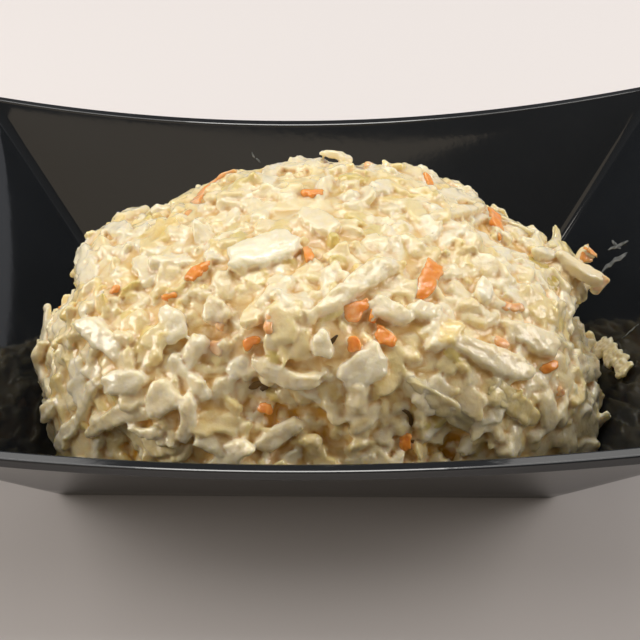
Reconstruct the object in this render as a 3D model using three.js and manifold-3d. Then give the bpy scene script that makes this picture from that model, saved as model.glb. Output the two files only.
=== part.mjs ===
// Coleslaw heaped in a flared rectangular dish of black moulded plastic.
//
// Millimetres, +Z up. The origin is the middle of the dish's underside, +X runs along its
// length and -Y is its front.

import * as THREE from 'three';
import { mergeVertices } from 'three/addons/utils/BufferGeometryUtils.js';
import Module from 'manifold-3d';

const wasm = await Module();
wasm.setup();

// ---- Driving dimensions ----

const CLEARANCE = 0.3; // left between solids that rest on each other

// Dish: a flat base, walls that lean outward on straight lines, and a rim that dips between
// its corners. Half sizes are outside sizes.
const BASE = { halfX: 62, halfY: 40.4 };
const RIM = { halfX: 100.3, halfY: 72.3 };
const CORNER_HEIGHT = 52.1;
const SIDE_DIP = 10.6; // from the corners to the middle of a long side
const END_DIP = 5.5; // from the corners to the middle of an end
const WALL = 1.5;
const LIP = { width: 2.7, drop: 2.6, edge: 0.4 };
const CORNER_RADIUS = 4.2;
const FLOOR_FILLET = 1.5;

// Heap: a dome with its crown off centre, whose plan is four quarter ellipses
const HEAP = { x: 1.8, y: -9.2, left: 68.8, right: 72.5, front: 58.6, back: 55, height: 59.9 };
const SHOULDER = { front: 3.4, back: 2.6 }; // power that keeps the crown broad and flat
const FLANK = 2.27; // power that steepens the flanks
const CORE_DEPTH = 2.4; // the core lies this far inside the heap's outline
const CORE_BUMP = 1.8; // how far its corners stand in or out
const LUMPS = { size: 5.5, depth: 1.1 };
const LOWEST_FALL = 1.5; // no piece is centred below this, where a quarter turn is the foot
const WALL_BERTH = 2.5; // a piece whose middle is nearer the dish's wall is skipped

// Places where the heap falls short of its dome, and by how much. Where the depth is below 0
// it stands out.
const HOLLOWS = [
  { at: [-36, 1, 57], radius: 11, depth: 2.5 },
  { at: [47, -6, 56], radius: 11, depth: 3 },
  { at: [69, -8, 31], radius: 9, depth: 5 },
  { at: [-53, -21, 44], radius: 6, depth: 3 },
  { at: [34, -56, 33], radius: 8, depth: 3 },
  { at: [-6, -54, 48], radius: 6, depth: 3 },
  { at: [50, 14, 50], radius: 11, depth: 3 },
  { at: [-44, 22, 46], radius: 14, depth: 3 },
  { at: [-64, 0, 36], radius: 9, depth: 2.5 },
  { at: [70, 4, 26], radius: 9, depth: 3 },
  { at: [3, -60, 39], radius: 13, depth: 3.5 },
  { at: [22, -60, 39], radius: 12, depth: 3 },
  { at: [-12, -60, 41], radius: 9, depth: 2 },
  { at: [71, -7, 23], radius: 8, depth: 3 },
  { at: [-56, -10, 41], radius: 6, depth: 2.5 },
  { at: [-62, -29, 20], radius: 8, depth: 2.5 },
  { at: [-34, 12, 54], radius: 9, depth: 2.5 },
  { at: [24, 20, 55], radius: 11, depth: -1.8 },
  { at: [64, -4, 41], radius: 8, depth: -4.5 },
  { at: [-50, -2, 48], radius: 8, depth: -1.5 },
  { at: [68, -31, 15], radius: 9, depth: -4 },
  { at: [67, -20, 34], radius: 8, depth: 8 },
  { at: [72, -22, 22], radius: 9, depth: 3 },
  { at: [-60, -5, 35], radius: 6, depth: 2 },
  { at: [-6, 19, 59], radius: 9, depth: 1 },
  { at: [19, 21, 58], radius: 8, depth: 1 },
  { at: [-39, -52, 25], radius: 6, depth: 6 },
  { at: [-20, -61, 33], radius: 5, depth: 4 },
  { at: [36, -54, 28], radius: 6, depth: 6 },
];

// Chopped pieces, the largest kind first. Sunk is the depth of their outer face in the heap.
const KINDS = [
  { form: 'leaf', count: 28, length: [13, 18], width: [8, 11], thickness: 1.3, sunk: 0.5 },
  { form: 'strip', count: 32, length: [13, 20], width: [4, 5.5], thickness: 2.8, sunk: 0 },
  { form: 'chip', count: 86, length: [8, 12], width: [5.5, 8], thickness: 1.9, sunk: 0.2 },
  { form: 'strip', count: 16, length: [8, 14], width: [2.2, 3], thickness: 2, sunk: -0.3 },
];

// Pieces that stand proud of the heap, each along a line with its flat side facing out
const PROUD = [
  { form: 'chip', from: [3, 15, 59], to: [7, 17, 63], width: 6, thickness: 2.2, facing: [0, -0.8, 0.6] },
  { form: 'chip', from: [6, 18, 60], to: [14, 20, 60.5], width: 4.5, thickness: 2, facing: [0, -0.8, 0.6] },
  { form: 'chip', from: [31, -3, 58], to: [44, 3, 56], width: 9, thickness: 2.2, facing: [0.2, -0.3, 0.9] },
  { form: 'leaf', from: [47, -7, 53], to: [62, 1, 48], width: 8, thickness: 1.6, facing: [0.3, -0.5, 0.8] },
  { form: 'strip', from: [59, 1, 44], to: [60.5, 2, 52], width: 3, thickness: 1.8, facing: [0.2, -1, 0.3] },
  { form: 'strip', from: [62, -3, 41], to: [71, -1, 46], width: 4, thickness: 2.6, facing: [0.3, -0.8, 0.6] },
  { form: 'chip', from: [58, -13, 41], to: [71, -5, 42], width: 11, thickness: 3, facing: [0.5, -0.7, 0.5] },
  { form: 'strip', from: [68, -9, 41], to: [73, -6, 34], width: 4, thickness: 3, facing: [0.7, -0.6, 0.3] },
  { form: 'leaf', from: [51, -20, 50], to: [60, -8, 43], width: 10, thickness: 1.4, facing: [0.6, -0.5, 0.6] },
  { form: 'leaf', from: [-60, -30, 25], to: [-62, -16, 39], width: 7, thickness: 1.6, facing: [-0.8, -0.5, 0.2] },
  { form: 'chip', from: [-66, -21, 20], to: [-56, -33, 29], width: 7, thickness: 2.2, facing: [-0.6, -0.7, 0.4] },
  { form: 'leaf', from: [-52, -39, 26], to: [-45, -38, 42], width: 8, thickness: 1.6, facing: [-0.4, -0.9, 0.3] },
  { form: 'strip', from: [-8, -49, 54], to: [9, -53, 50], width: 5, thickness: 3.4, facing: [0, -0.7, 0.7] },
  { form: 'strip', from: [4, -42, 58], to: [24, -25, 60], width: 5, thickness: 3.6, facing: [0, -0.4, 0.9] },
];

// One shred of cabbage that has slid off the heap and lies on the right-hand wall
const LOOSE = {
  from: { y: -4, z: 18 },
  to: { y: -22.5, z: 23 },
  width: 6,
  thickness: 1.4,
  wave: 0.5,
  berth: 16, // pieces of the heap keep this far from its middle
};

// ---- Bodies built from rings ----

// A closed body whose rows run from one point, through rings, to another point. The place
// function gives the position at a row and a column, columns going anticlockwise.
function ringBody(rows, columns, place) {
  const profile = Array.from({ length: rows }, (_, row) => new THREE.Vector2(1, row));
  const geometry = new THREE.LatheGeometry(profile, columns);
  const position = geometry.attributes.position;
  for (let column = 0; column <= columns; column++) {
    for (let row = 0; row < rows; row++) {
      const point = place(row, column % columns);
      position.setXYZ(column * rows + row, point.x, point.y, point.z);
    }
  }
  geometry.deleteAttribute('normal');
  geometry.deleteAttribute('uv');
  return dropFlatTriangles(mergeVertices(geometry, 1e-4));
}

// The fans at a body's two end points leave triangles with two corners in one place
function dropFlatTriangles(geometry) {
  const corners = geometry.index.array;
  const kept = [];
  for (let i = 0; i < corners.length; i += 3) {
    const [a, b, c] = corners.subarray(i, i + 3);
    if (a !== b && b !== c && c !== a) {
      kept.push(a, b, c);
    }
  }
  geometry.setIndex(kept);
  return geometry;
}

function toSolid(geometry) {
  return new wasm.Manifold(new wasm.Mesh({
    numProp: 3,
    vertProperties: new Float32Array(geometry.attributes.position.array),
    triVerts: new Uint32Array(geometry.index.array),
    tolerance: 0.1,
  }));
}

function toGeometry(solid) {
  const { vertProperties, triVerts } = solid.getMesh();
  const geometry = new THREE.BufferGeometry();
  geometry.setAttribute('position', new THREE.BufferAttribute(vertProperties, 3));
  geometry.setIndex(new THREE.BufferAttribute(triVerts, 1));
  geometry.computeVertexNormals();
  return geometry;
}

// ---- Dish ----

const MEAN_HEIGHT = CORNER_HEIGHT - SIDE_DIP / 2;
const LEAN = Math.atan2(RIM.halfY - BASE.halfY, MEAN_HEIGHT);
const LEAN_RUN = Math.tan(LEAN);
const WALL_ACROSS = WALL / Math.cos(LEAN); // the wall's thickness measured level
const LIP_REACH = LIP.width - WALL_ACROSS; // how far the lip stands out from the wall
const FLARE = {
  x: RIM.halfX - LIP_REACH - BASE.halfX,
  y: RIM.halfY - LIP_REACH - BASE.halfY,
};

// Stations once round a rectangle with round corners, anticlockwise: side is the place on
// the square-cornered rectangle, out the way that the corner's arc bulges there
function roundRectangle(stepsX, stepsY, stepsCorner) {
  const corners = [[1, 1], [-1, 1], [-1, -1], [1, -1]];
  const stations = [];
  corners.forEach(([signX, signY], index) => {
    for (let step = 0; step <= stepsCorner; step++) {
      const angle = (index + step / stepsCorner) * Math.PI / 2;
      stations.push({ side: [signX, signY], out: [Math.cos(angle), Math.sin(angle)] });
    }
    const [nextX, nextY] = corners[(index + 1) % corners.length];
    const steps = signX === nextX ? stepsY : stepsX;
    const angle = (index + 1) * Math.PI / 2;
    for (let step = 1; step < steps; step++) {
      const share = step / steps;
      const side = [signX + (nextX - signX) * share, signY + (nextY - signY) * share];
      stations.push({ side, out: [Math.cos(angle), Math.sin(angle)] });
    }
  });
  return stations;
}

// Height of the rim at u and v, which run from -1 to 1 across the plan
function rimHeight(u, v) {
  return CORNER_HEIGHT - SIDE_DIP * (1 - u * u) - END_DIP * (1 - v * v);
}

// A point of the dish. A row is a line round it: up is its share of the wall's height, inset
// how far it lies inside the wall's outer face, rise a height that is the same all round.
function dishPoint(row, station) {
  if (row.centre) {
    return new THREE.Vector3(0, 0, row.rise);
  }
  const halfX = BASE.halfX + FLARE.x * row.up - row.inset;
  const halfY = BASE.halfY + FLARE.y * row.up - row.inset;
  const radius = Math.max(CORNER_RADIUS - Math.max(row.inset, 0), 1);
  const x = station.side[0] * (halfX - radius) + station.out[0] * radius;
  const y = station.side[1] * (halfY - radius) + station.out[1] * radius;
  const z = row.up * rimHeight(x / halfX, y / halfY) + row.rise;
  return new THREE.Vector3(x, y, z);
}

// The wall's inner face and the floor, from the top down, moved inward by a clearance
function innerRows(top, clearance) {
  const inset = WALL_ACROSS + clearance / Math.cos(LEAN);
  const floor = WALL + clearance;
  const corner = inset - LEAN_RUN * floor;
  return [
    { up: top, inset, rise: 0 },
    { up: 0.7, inset, rise: 0 },
    { up: 0.35, inset, rise: 0 },
    { up: 0, inset: corner - LEAN_RUN * FLOOR_FILLET, rise: floor + FLOOR_FILLET },
    { up: 0, inset: corner + FLOOR_FILLET * 0.2, rise: floor + FLOOR_FILLET * 0.3 },
    { up: 0, inset: corner + FLOOR_FILLET, rise: floor },
    { centre: true, rise: floor },
  ];
}

const stations = roundRectangle(14, 10, 4);

function dish() {
  const rows = [
    { centre: true, rise: 0 },
    { up: 0, inset: 0, rise: 0 },
    { up: 0.35, inset: 0, rise: 0 },
    { up: 0.7, inset: 0, rise: 0 },
    { up: 1, inset: LIP.drop * LEAN_RUN, rise: -LIP.drop },
    { up: 1, inset: -LIP_REACH, rise: -LIP.drop },
    { up: 1, inset: -LIP_REACH, rise: -LIP.edge },
    { up: 1, inset: LIP.edge - LIP_REACH, rise: 0 },
    { up: 1, inset: WALL_ACROSS - LIP.edge, rise: 0 },
    { up: 1, inset: WALL_ACROSS, rise: -LIP.edge },
    ...innerRows(1, 0).slice(1),
  ];
  return ringBody(rows.length, stations.length, (row, column) => dishPoint(rows[row], stations[column]));
}

// Whether a point lies inside the dish, further than a margin from its walls
function insideDish(point, margin) {
  const up = point.z / MEAN_HEIGHT;
  const halfX = BASE.halfX - WALL_ACROSS + FLARE.x * up - margin;
  const halfY = BASE.halfY - WALL_ACROSS + FLARE.y * up - margin;
  return Math.abs(point.x) < halfX && Math.abs(point.y) < halfY;
}

// The room inside the dish and above it, clear of the plastic
function room() {
  const rows = innerRows(1.8, CLEARANCE).reverse();
  rows.push({ centre: true, rise: CORNER_HEIGHT * 2 });
  return ringBody(rows.length, stations.length, (row, column) => dishPoint(rows[row], stations[column]));
}

// ---- Heap ----

// A point of the heap's dome, inset from its outline. Fall is 0 at the crown and a quarter
// turn at the foot.
function domePoint(fall, turn, inset) {
  const across = Math.cos(turn) > 0 ? HEAP.right : HEAP.left;
  const along = Math.sin(turn) > 0 ? HEAP.back : HEAP.front;
  const backward = Math.max(Math.sin(turn), 0);
  const shoulder = THREE.MathUtils.lerp(SHOULDER.front, SHOULDER.back, backward);
  const spread = Math.sin(fall) ** (2 / shoulder);
  const lift = Math.max(Math.cos(fall), 0) ** (2 / FLANK);
  return new THREE.Vector3(
    HEAP.x + (across - inset) * spread * Math.cos(turn),
    HEAP.y + (along - inset) * spread * Math.sin(turn),
    WALL + (HEAP.height - inset) * lift,
  );
}

// The way out of the heap at a point of the dome
function domeNormal(fall, turn) {
  const step = Math.min(0.02, fall / 2);
  const down = domePoint(fall + step, turn, 0).sub(domePoint(fall - step, turn, 0));
  const round = domePoint(fall, turn + step, 0).sub(domePoint(fall, turn - step, 0));
  return down.cross(round).normalize();
}

// How far the heap's surface lies below the dome at a point
function sag(point) {
  let depth = LUMPS.depth * (
    Math.sin(point.x / LUMPS.size + 1.3) * Math.sin(point.y / LUMPS.size + 0.4)
    + Math.sin(point.z / LUMPS.size + point.x / (2 * LUMPS.size))
  );
  for (const hollow of HOLLOWS) {
    const far = point.distanceTo(new THREE.Vector3(...hollow.at)) / hollow.radius;
    depth += hollow.depth * Math.exp(-far * far);
  }
  return depth;
}

// Falls at even steps down the dome, by the area above each or by the length of its profile
function evenFalls(count, byArea) {
  const steps = 400;
  const totals = [0];
  for (let step = 1; step <= steps; step++) {
    const above = domePoint((step - 1) / steps * LOWEST_FALL, 0, 0);
    const below = domePoint(step / steps * LOWEST_FALL, 0, 0);
    const reach = byArea ? (above.x + below.x) / 2 - HEAP.x : 1;
    totals.push(totals[step - 1] + above.distanceTo(below) * reach);
  }
  return Array.from({ length: count }, (_, number) => {
    const share = (number + 1) / (count + 1) * totals[steps];
    return totals.findIndex((total) => total >= share) / steps * LOWEST_FALL;
  });
}

// A draw between two values, the same each time the part is built
let seed = 20260;
function draw(low, high) {
  seed = (seed * 16807) % 2147483647;
  return low + (high - low) * seed / 2147483647;
}

function core() {
  const columns = 40;
  const rings = 14;
  const falls = evenFalls(rings, false).reverse();
  falls[0] = Math.PI / 2;
  const bumps = Array.from({ length: rings + 1 }, () => (
    Array.from({ length: columns }, () => draw(-CORE_BUMP, CORE_BUMP))
  ));
  return ringBody(rings + 2, columns, (row, column) => {
    if (row === 0) {
      return new THREE.Vector3(HEAP.x, HEAP.y, WALL);
    }
    if (row === rings + 1) {
      return domePoint(0, 0, CORE_DEPTH);
    }
    const fall = falls[row - 1];
    const turn = (column + row % 2 / 2) / columns * Math.PI * 2;
    const point = domePoint(fall, turn, CORE_DEPTH);
    const outward = domeNormal(Math.min(fall, LOWEST_FALL), turn);
    return point.addScaledVector(outward, bumps[row][column] - sag(point));
  });
}

// A thin piece with an uneven outline and a wave in it. Both faces are fans from their
// middle, so they are split alike.
function chip(length, width, thickness, columns) {
  const curl = draw(-0.5, 0.9);
  const lag = draw(0, Math.PI);
  const edge = Array.from({ length: columns }, () => draw(0.78, 1.08));
  return ringBody(4, columns, (row, column) => {
    const face = row < 2 ? -thickness / 2 : thickness / 2;
    if (row === 0 || row === 3) {
      return new THREE.Vector3(0, 0, face);
    }
    const turn = column / columns * Math.PI * 2;
    const wave = curl + 0.9 * Math.cos(2 * turn + lag);
    return new THREE.Vector3(
      length / 2 * edge[column] * Math.cos(turn),
      width / 2 * edge[column] * Math.sin(turn),
      face + wave,
    );
  });
}

// A shred: flat-oval sections along a bow, a little narrower at the ends
function strip(length, width, thickness) {
  const columns = 4;
  const sections = 3;
  const bow = draw(-0.12, 0.2) * length;
  const twist = draw(-0.6, 0.6);
  return ringBody(sections + 2, columns, (row, column) => {
    const share = (THREE.MathUtils.clamp(row, 1, sections) - 1) / (sections - 1);
    const place = share * 2 - 1;
    const bend = bow * (1 - place * place) - bow * 0.5;
    if (row === 0 || row === sections + 1) {
      return new THREE.Vector3(place * length / 2, 0, bend);
    }
    const turn = column / columns * Math.PI * 2;
    const narrow = 1 - 0.35 * place * place;
    const side = width / 2 * narrow * Math.cos(turn);
    const face = thickness / 2 * narrow * Math.sin(turn);
    const angle = twist * place;
    return new THREE.Vector3(
      place * length / 2,
      side * Math.cos(angle) - face * Math.sin(angle),
      side * Math.sin(angle) + face * Math.cos(angle) + bend,
    );
  });
}

function pieceOf(form, length, width, thickness) {
  if (form === 'strip') {
    return strip(length, width, thickness);
  }
  return chip(length, width, thickness, form === 'leaf' ? 8 : 6);
}

// Lays a piece with its length along one direction and its flat side facing another
function lay(geometry, middle, along, facing) {
  const lengthwise = along.clone().normalize();
  const sideways = facing.clone().cross(lengthwise).normalize();
  const outward = lengthwise.clone().cross(sideways);
  const placing = new THREE.Matrix4().makeBasis(lengthwise, sideways, outward);
  return geometry.applyMatrix4(placing.setPosition(middle));
}

// Pieces of every kind, spread evenly over the dome on a spiral of golden-angle steps
function scattered() {
  const goldenAngle = Math.PI * (3 - Math.sqrt(5));
  const looseMiddle = overEndWall((LOOSE.from.y + LOOSE.to.y) / 2, (LOOSE.from.z + LOOSE.to.z) / 2);
  const pieces = [];
  KINDS.forEach((kind, order) => {
    const falls = evenFalls(kind.count, true);
    for (let number = 0; number < kind.count; number++) {
      const fall = falls[number];
      const turn = number * goldenAngle + order * 1.7;
      const facing = domeNormal(fall, turn);
      const lengthwise = new THREE.Vector3(draw(-1, 1), draw(-1, 1), draw(-1, 1));
      lengthwise.addScaledVector(facing, draw(-0.3, 0.3) - lengthwise.dot(facing));
      const middle = domePoint(fall, turn, 0);
      middle.addScaledVector(facing, -sag(middle) - kind.sunk - kind.thickness / 2);
      const geometry = pieceOf(kind.form, draw(...kind.length), draw(...kind.width), kind.thickness);
      if (insideDish(middle, WALL_BERTH) && middle.distanceTo(looseMiddle) > LOOSE.berth) {
        pieces.push(lay(geometry, middle, lengthwise, facing));
      }
    }
  });
  return pieces;
}

function spanning(piece) {
  const start = new THREE.Vector3(...piece.from);
  const end = new THREE.Vector3(...piece.to);
  const along = end.clone().sub(start);
  const geometry = pieceOf(piece.form, along.length(), piece.width, piece.thickness);
  return lay(geometry, start.add(end).multiplyScalar(0.5), along, new THREE.Vector3(...piece.facing));
}

// The heap is one body: core and pieces joined, cut back from the dish and from the loose
// shred beside it, with loose scraps dropped and sealed hollows filled
function heap() {
  const pieces = [core(), ...PROUD.map(spanning), ...scattered()];
  const joined = wasm.Manifold.union(pieces.map(toSolid)).intersect(toSolid(room()));
  const bodies = joined.subtract(toSolid(looseShred(2 * CLEARANCE))).decompose();
  return toGeometry(bodies.reduce((most, body) => (body.volume() > most.volume() ? body : most)));
}

// ---- Loose shred ----

// A point over the inner face of the right-hand wall, clear of it by half the loose shred
function overEndWall(y, z) {
  const height = rimHeight(1, 0);
  const face = BASE.halfX - WALL_ACROSS + FLARE.x * z / height;
  const inward = new THREE.Vector3(-height, 0, FLARE.x).normalize();
  const standOff = CLEARANCE + LOOSE.wave + LOOSE.thickness / 2;
  return new THREE.Vector3(face, y, z).addScaledVector(inward, standOff);
}

// A curved shred, thin and scalloped along its upper edge, swollen by a margin all over
function looseShred(margin) {
  const start = overEndWall(LOOSE.from.y, LOOSE.from.z);
  const end = overEndWall(LOOSE.to.y, LOOSE.to.z);
  const along = start.clone().sub(end);
  const columns = 16;
  const geometry = ringBody(4, columns, (row, column) => {
    const face = (row < 2 ? -1 : 1) * (LOOSE.thickness / 2 + margin);
    if (row === 0 || row === 3) {
      return new THREE.Vector3(0, 0, face);
    }
    const turn = column / columns * Math.PI * 2;
    const scallop = Math.sin(turn) > 0 ? 1 + 0.18 * Math.cos(3 * turn) : 0.8;
    return new THREE.Vector3(
      (along.length() / 2 + margin) * Math.cos(turn),
      (LOOSE.width / 2 * scallop + margin) * Math.sin(turn),
      face + LOOSE.wave * Math.cos(2 * turn),
    );
  });
  const inward = new THREE.Vector3(-rimHeight(1, 0), 0, FLARE.x);
  return lay(geometry, start.add(end).multiplyScalar(0.5), along, inward);
}

// ---- Assembly ----

function addMesh(group, name, geometry, color, roughness) {
  const material = new THREE.MeshStandardMaterial({ color, roughness, metalness: 0 });
  const mesh = new THREE.Mesh(geometry, material);
  mesh.name = name;
  group.add(mesh);
}

const serving = new THREE.Group();
addMesh(serving, 'dish', dish(), 0x1c1c1e, 0.16);
addMesh(serving, 'coleslaw', heap(), 0xeedfb8, 0.35);
addMesh(serving, 'loose_cabbage_shred', looseShred(0), 0xece0b4, 0.35);

export default serving;
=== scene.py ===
"""Coleslaw heaped in a flared rectangular dish of black moulded plastic.

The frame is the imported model's, in metres: the origin is the middle of the dish's underside,
+X runs along its length and -Y is its front. Sizes below are named in millimetres.
"""

import math

import bmesh
import bpy
import numpy as np
from mathutils import Matrix, Vector


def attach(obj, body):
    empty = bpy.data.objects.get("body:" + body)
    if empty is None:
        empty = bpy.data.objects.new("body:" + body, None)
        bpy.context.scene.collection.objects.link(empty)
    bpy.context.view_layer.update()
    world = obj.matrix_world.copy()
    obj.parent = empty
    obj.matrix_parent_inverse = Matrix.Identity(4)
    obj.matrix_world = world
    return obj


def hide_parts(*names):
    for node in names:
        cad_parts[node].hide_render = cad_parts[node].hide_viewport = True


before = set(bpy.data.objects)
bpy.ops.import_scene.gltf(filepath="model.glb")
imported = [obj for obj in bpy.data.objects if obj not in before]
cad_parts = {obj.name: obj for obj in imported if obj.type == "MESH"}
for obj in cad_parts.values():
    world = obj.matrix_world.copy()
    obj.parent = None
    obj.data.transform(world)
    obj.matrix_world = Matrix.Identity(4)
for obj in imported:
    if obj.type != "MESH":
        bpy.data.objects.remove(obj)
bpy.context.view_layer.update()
MM = 0.001

# ---- Camera ----
# A long lens above the front of the dish, a little to its right, tipped slightly. Places on
# the heap are found by sighting through it, so the same numbers serve both.
CAMERA_TARGET = np.array([3.1, 1.86, 21.08])
CAMERA_DISTANCE = 285.2
CAMERA_ELEVATION = math.radians(38.1)
CAMERA_AZIMUTH = math.radians(4.9)
CAMERA_ROLL = math.radians(-3.23)
IMAGE_SIDE = 640
FOCAL_PIXELS = 1100
SENSOR_WIDTH = 36.0

camera_back = np.array([
    math.sin(CAMERA_AZIMUTH) * math.cos(CAMERA_ELEVATION),
    -math.cos(CAMERA_AZIMUTH) * math.cos(CAMERA_ELEVATION),
    math.sin(CAMERA_ELEVATION),
])
level_right = np.cross(-camera_back, [0, 0, 1])
level_right /= np.linalg.norm(level_right)
level_up = np.cross(level_right, -camera_back)
camera_right = math.cos(CAMERA_ROLL) * level_right + math.sin(CAMERA_ROLL) * level_up
camera_up = -math.sin(CAMERA_ROLL) * level_right + math.cos(CAMERA_ROLL) * level_up
camera_place = CAMERA_TARGET + camera_back * CAMERA_DISTANCE

camera_data = bpy.data.cameras.new("camera")
camera_data.sensor_width = SENSOR_WIDTH
camera_data.lens = SENSOR_WIDTH * FOCAL_PIXELS / IMAGE_SIDE
camera_data.clip_start = 0.01
camera = bpy.data.objects.new("camera", camera_data)
camera_matrix = Matrix([list(row) for row in np.column_stack([camera_right, camera_up, camera_back])])
camera.matrix_world = Matrix.Translation(Vector(camera_place * MM)) @ camera_matrix.to_4x4()
bpy.context.scene.collection.objects.link(camera)
bpy.context.scene.camera = camera


def sight(across, down):
    """The direction from the camera through a pixel of the square frame."""
    half = IMAGE_SIDE / 2
    rightward = camera_right * (across - half) / FOCAL_PIXELS
    upward = camera_up * (half - down) / FOCAL_PIXELS
    ray = rightward + upward - camera_back
    return ray / np.linalg.norm(ray)


# ---- Dish ----
# One injection moulding in black polystyrene: a flat floor, walls that flare on straight
# lines, and a small lip whose edge dips between the corners. The mould was polished.
BASE_HALF = np.array([62.0, 40.4])
RIM_HALF = np.array([100.3, 72.3])
CORNER_HEIGHT = 52.1
SIDE_DIP = 10.6
END_DIP = 5.5
WALL = 1.5
LIP_WIDTH = 2.7
LIP_DROP = 2.6
LIP_FALL = 0.2
LIP_DRAFT = 0.4
LIP_ROUNDING = 0.3
EDGE_FLAT = 0.28
OUTER_EDGE_SLOPE = math.radians(6.5)
INNER_EDGE_SLOPE = math.radians(19.5)
FLAT_LINES = (0.06, 0.94, 1)
LIP_BEVEL = 0.1
# Close lines hold the smooth shading at an edge: how far off it they lie, and how much they ease it
HOLD = 0.3
HOLD_UNDER_LIP = 0.4
HOLD_INSIDE = 0.5
HOLD_ON_FLOOR = 1
EASE = 0.04
CORNER_RADIUS = 4.2
FLOOR_FILLET = 1.5
FILLET_LINES = 5
WALL_LINES = 7
LOWEST_INNER_LINE = 0.06
UNDERSIDE_INSET = 12
FLOOR_INSET = 14
# The base's rounded edge: shares of the wall's height, insets from its outer face, and rises
BASE_EDGE = [(0, 1.2, 0), (0, 0.25, 0.05), (0.01, 0, 0.1)]

mean_height = CORNER_HEIGHT - SIDE_DIP / 2
lean = math.atan2(RIM_HALF[1] - BASE_HALF[1], mean_height)
lean_run = math.tan(lean)
wall_across = WALL / math.cos(lean)
lip_reach = LIP_WIDTH - wall_across
flare = RIM_HALF - lip_reach - BASE_HALF


def rim_height(u, v):
    return CORNER_HEIGHT - SIDE_DIP * (1 - u * u) - END_DIP * (1 - v * v)


def round_rectangle(steps_x, steps_y, steps_corner):
    """Stations once round, anticlockwise: places on the square rectangle and the arcs' directions."""
    corners = [(1, 1), (-1, 1), (-1, -1), (1, -1)]
    sides, outs = [], []
    for index, corner in enumerate(corners):
        for step in range(steps_corner + 1):
            angle = (index + step / steps_corner) * math.pi / 2
            sides.append(corner)
            outs.append((math.cos(angle), math.sin(angle)))
        following = corners[(index + 1) % 4]
        steps = steps_y if corner[0] == following[0] else steps_x
        for step in range(1, steps):
            share = step / steps
            sides.append([a + (b - a) * share for a, b in zip(corner, following)])
            outs.append((math.cos(angle), math.sin(angle)))
    return np.array(sides, float), np.array(outs)


def ring_triangles(rows, columns):
    """Faces of a closed body: a first point, rings of columns, and a last point."""
    ring = np.arange(columns)
    following = (ring + 1) % columns
    faces = [np.column_stack([np.zeros(columns, int), 1 + following, 1 + ring])]
    for row in range(rows - 3):
        low = 1 + row * columns
        high = low + columns
        faces.append(np.column_stack([low + ring, low + following, high + following]))
        faces.append(np.column_stack([low + ring, high + following, high + ring]))
    last = 1 + (rows - 2) * columns
    low = last - columns
    faces.append(np.column_stack([low + ring, low + following, np.full(columns, last)]))
    return np.concatenate(faces)


def mesh_object(name, points, triangles, **values):
    """A smooth-shaded object from points in millimetres, with a number for each point by name."""
    mesh = bpy.data.meshes.new(name)
    mesh.vertices.add(len(points))
    mesh.vertices.foreach_set("co", (np.asarray(points) * MM).astype(np.float32).ravel())
    mesh.loops.add(triangles.size)
    mesh.loops.foreach_set("vertex_index", triangles.astype(np.int32).ravel())
    mesh.polygons.add(len(triangles))
    mesh.polygons.foreach_set("loop_start", np.arange(0, triangles.size, 3, dtype=np.int32))
    for key, value in values.items():
        attribute = mesh.attributes.new(key, "FLOAT", "POINT")
        attribute.data.foreach_set("value", np.asarray(value, np.float32))
    mesh.update(calc_edges=True)
    mesh.shade_smooth()
    thing = bpy.data.objects.new(name, mesh)
    bpy.context.scene.collection.objects.link(thing)
    return thing


def dish_line(up, inset, rise):
    """Points once round the dish at a share of the wall's height, inside its outer face by an inset."""
    half = BASE_HALF + flare * up - inset
    radius = max(CORNER_RADIUS - max(inset, 0), 1)
    plan = dish_sides * (half - radius) + dish_outs * radius
    height = up * rim_height(plan[:, 0] / half[0], plan[:, 1] / half[1]) + rise
    return np.column_stack([plan, height])


dish_sides, dish_outs = round_rectangle(steps_x=56, steps_y=40, steps_corner=8)
floor_inset = wall_across - lean_run * WALL
wall_shares = np.linspace(0, 1, WALL_LINES + 2)[1:-1]
lip_foot = LIP_DROP * lean_run
lip_under = LIP_DRAFT - lip_reach

# Lines round the dish, from the underside up the outer face, over the lip and down to the floor
rows = [(0, UNDERSIDE_INSET, 0), *BASE_EDGE]
rows += [(share, 0, 0) for share in wall_shares]
rows += [
    (1, lip_foot + HOLD, -LIP_DROP - HOLD_UNDER_LIP),
    (1, lip_foot, -LIP_DROP),
    (1, lip_under + LIP_BEVEL, -LIP_DROP),
    (1, lip_under, LIP_BEVEL - LIP_DROP),
    (1, lip_under - EASE, HOLD - LIP_DROP),
    (1, EASE - lip_reach, -LIP_ROUNDING - HOLD),
]


def lip_edge(slope):
    """An edge of the lip from its side to its top: how far in and how high. It is rounded, then flat
    at a slope, with close lines at both ends of the flat so that it shines as one."""
    end = math.pi / 2 - slope
    flat_rise = EDGE_FLAT * math.tan(slope)
    edge = [
        (LIP_ROUNDING * (1 - math.cos(a)), LIP_ROUNDING * (math.sin(a) - math.sin(end)) - flat_rise)
        for a in np.linspace(0, end, 5)
    ]
    start = edge[-1][0]
    edge += [(start + EDGE_FLAT * t, EDGE_FLAT * (t - 1) * math.tan(slope)) for t in FLAT_LINES]
    return edge + [(edge[-1][0] + EASE, 0)]


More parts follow.
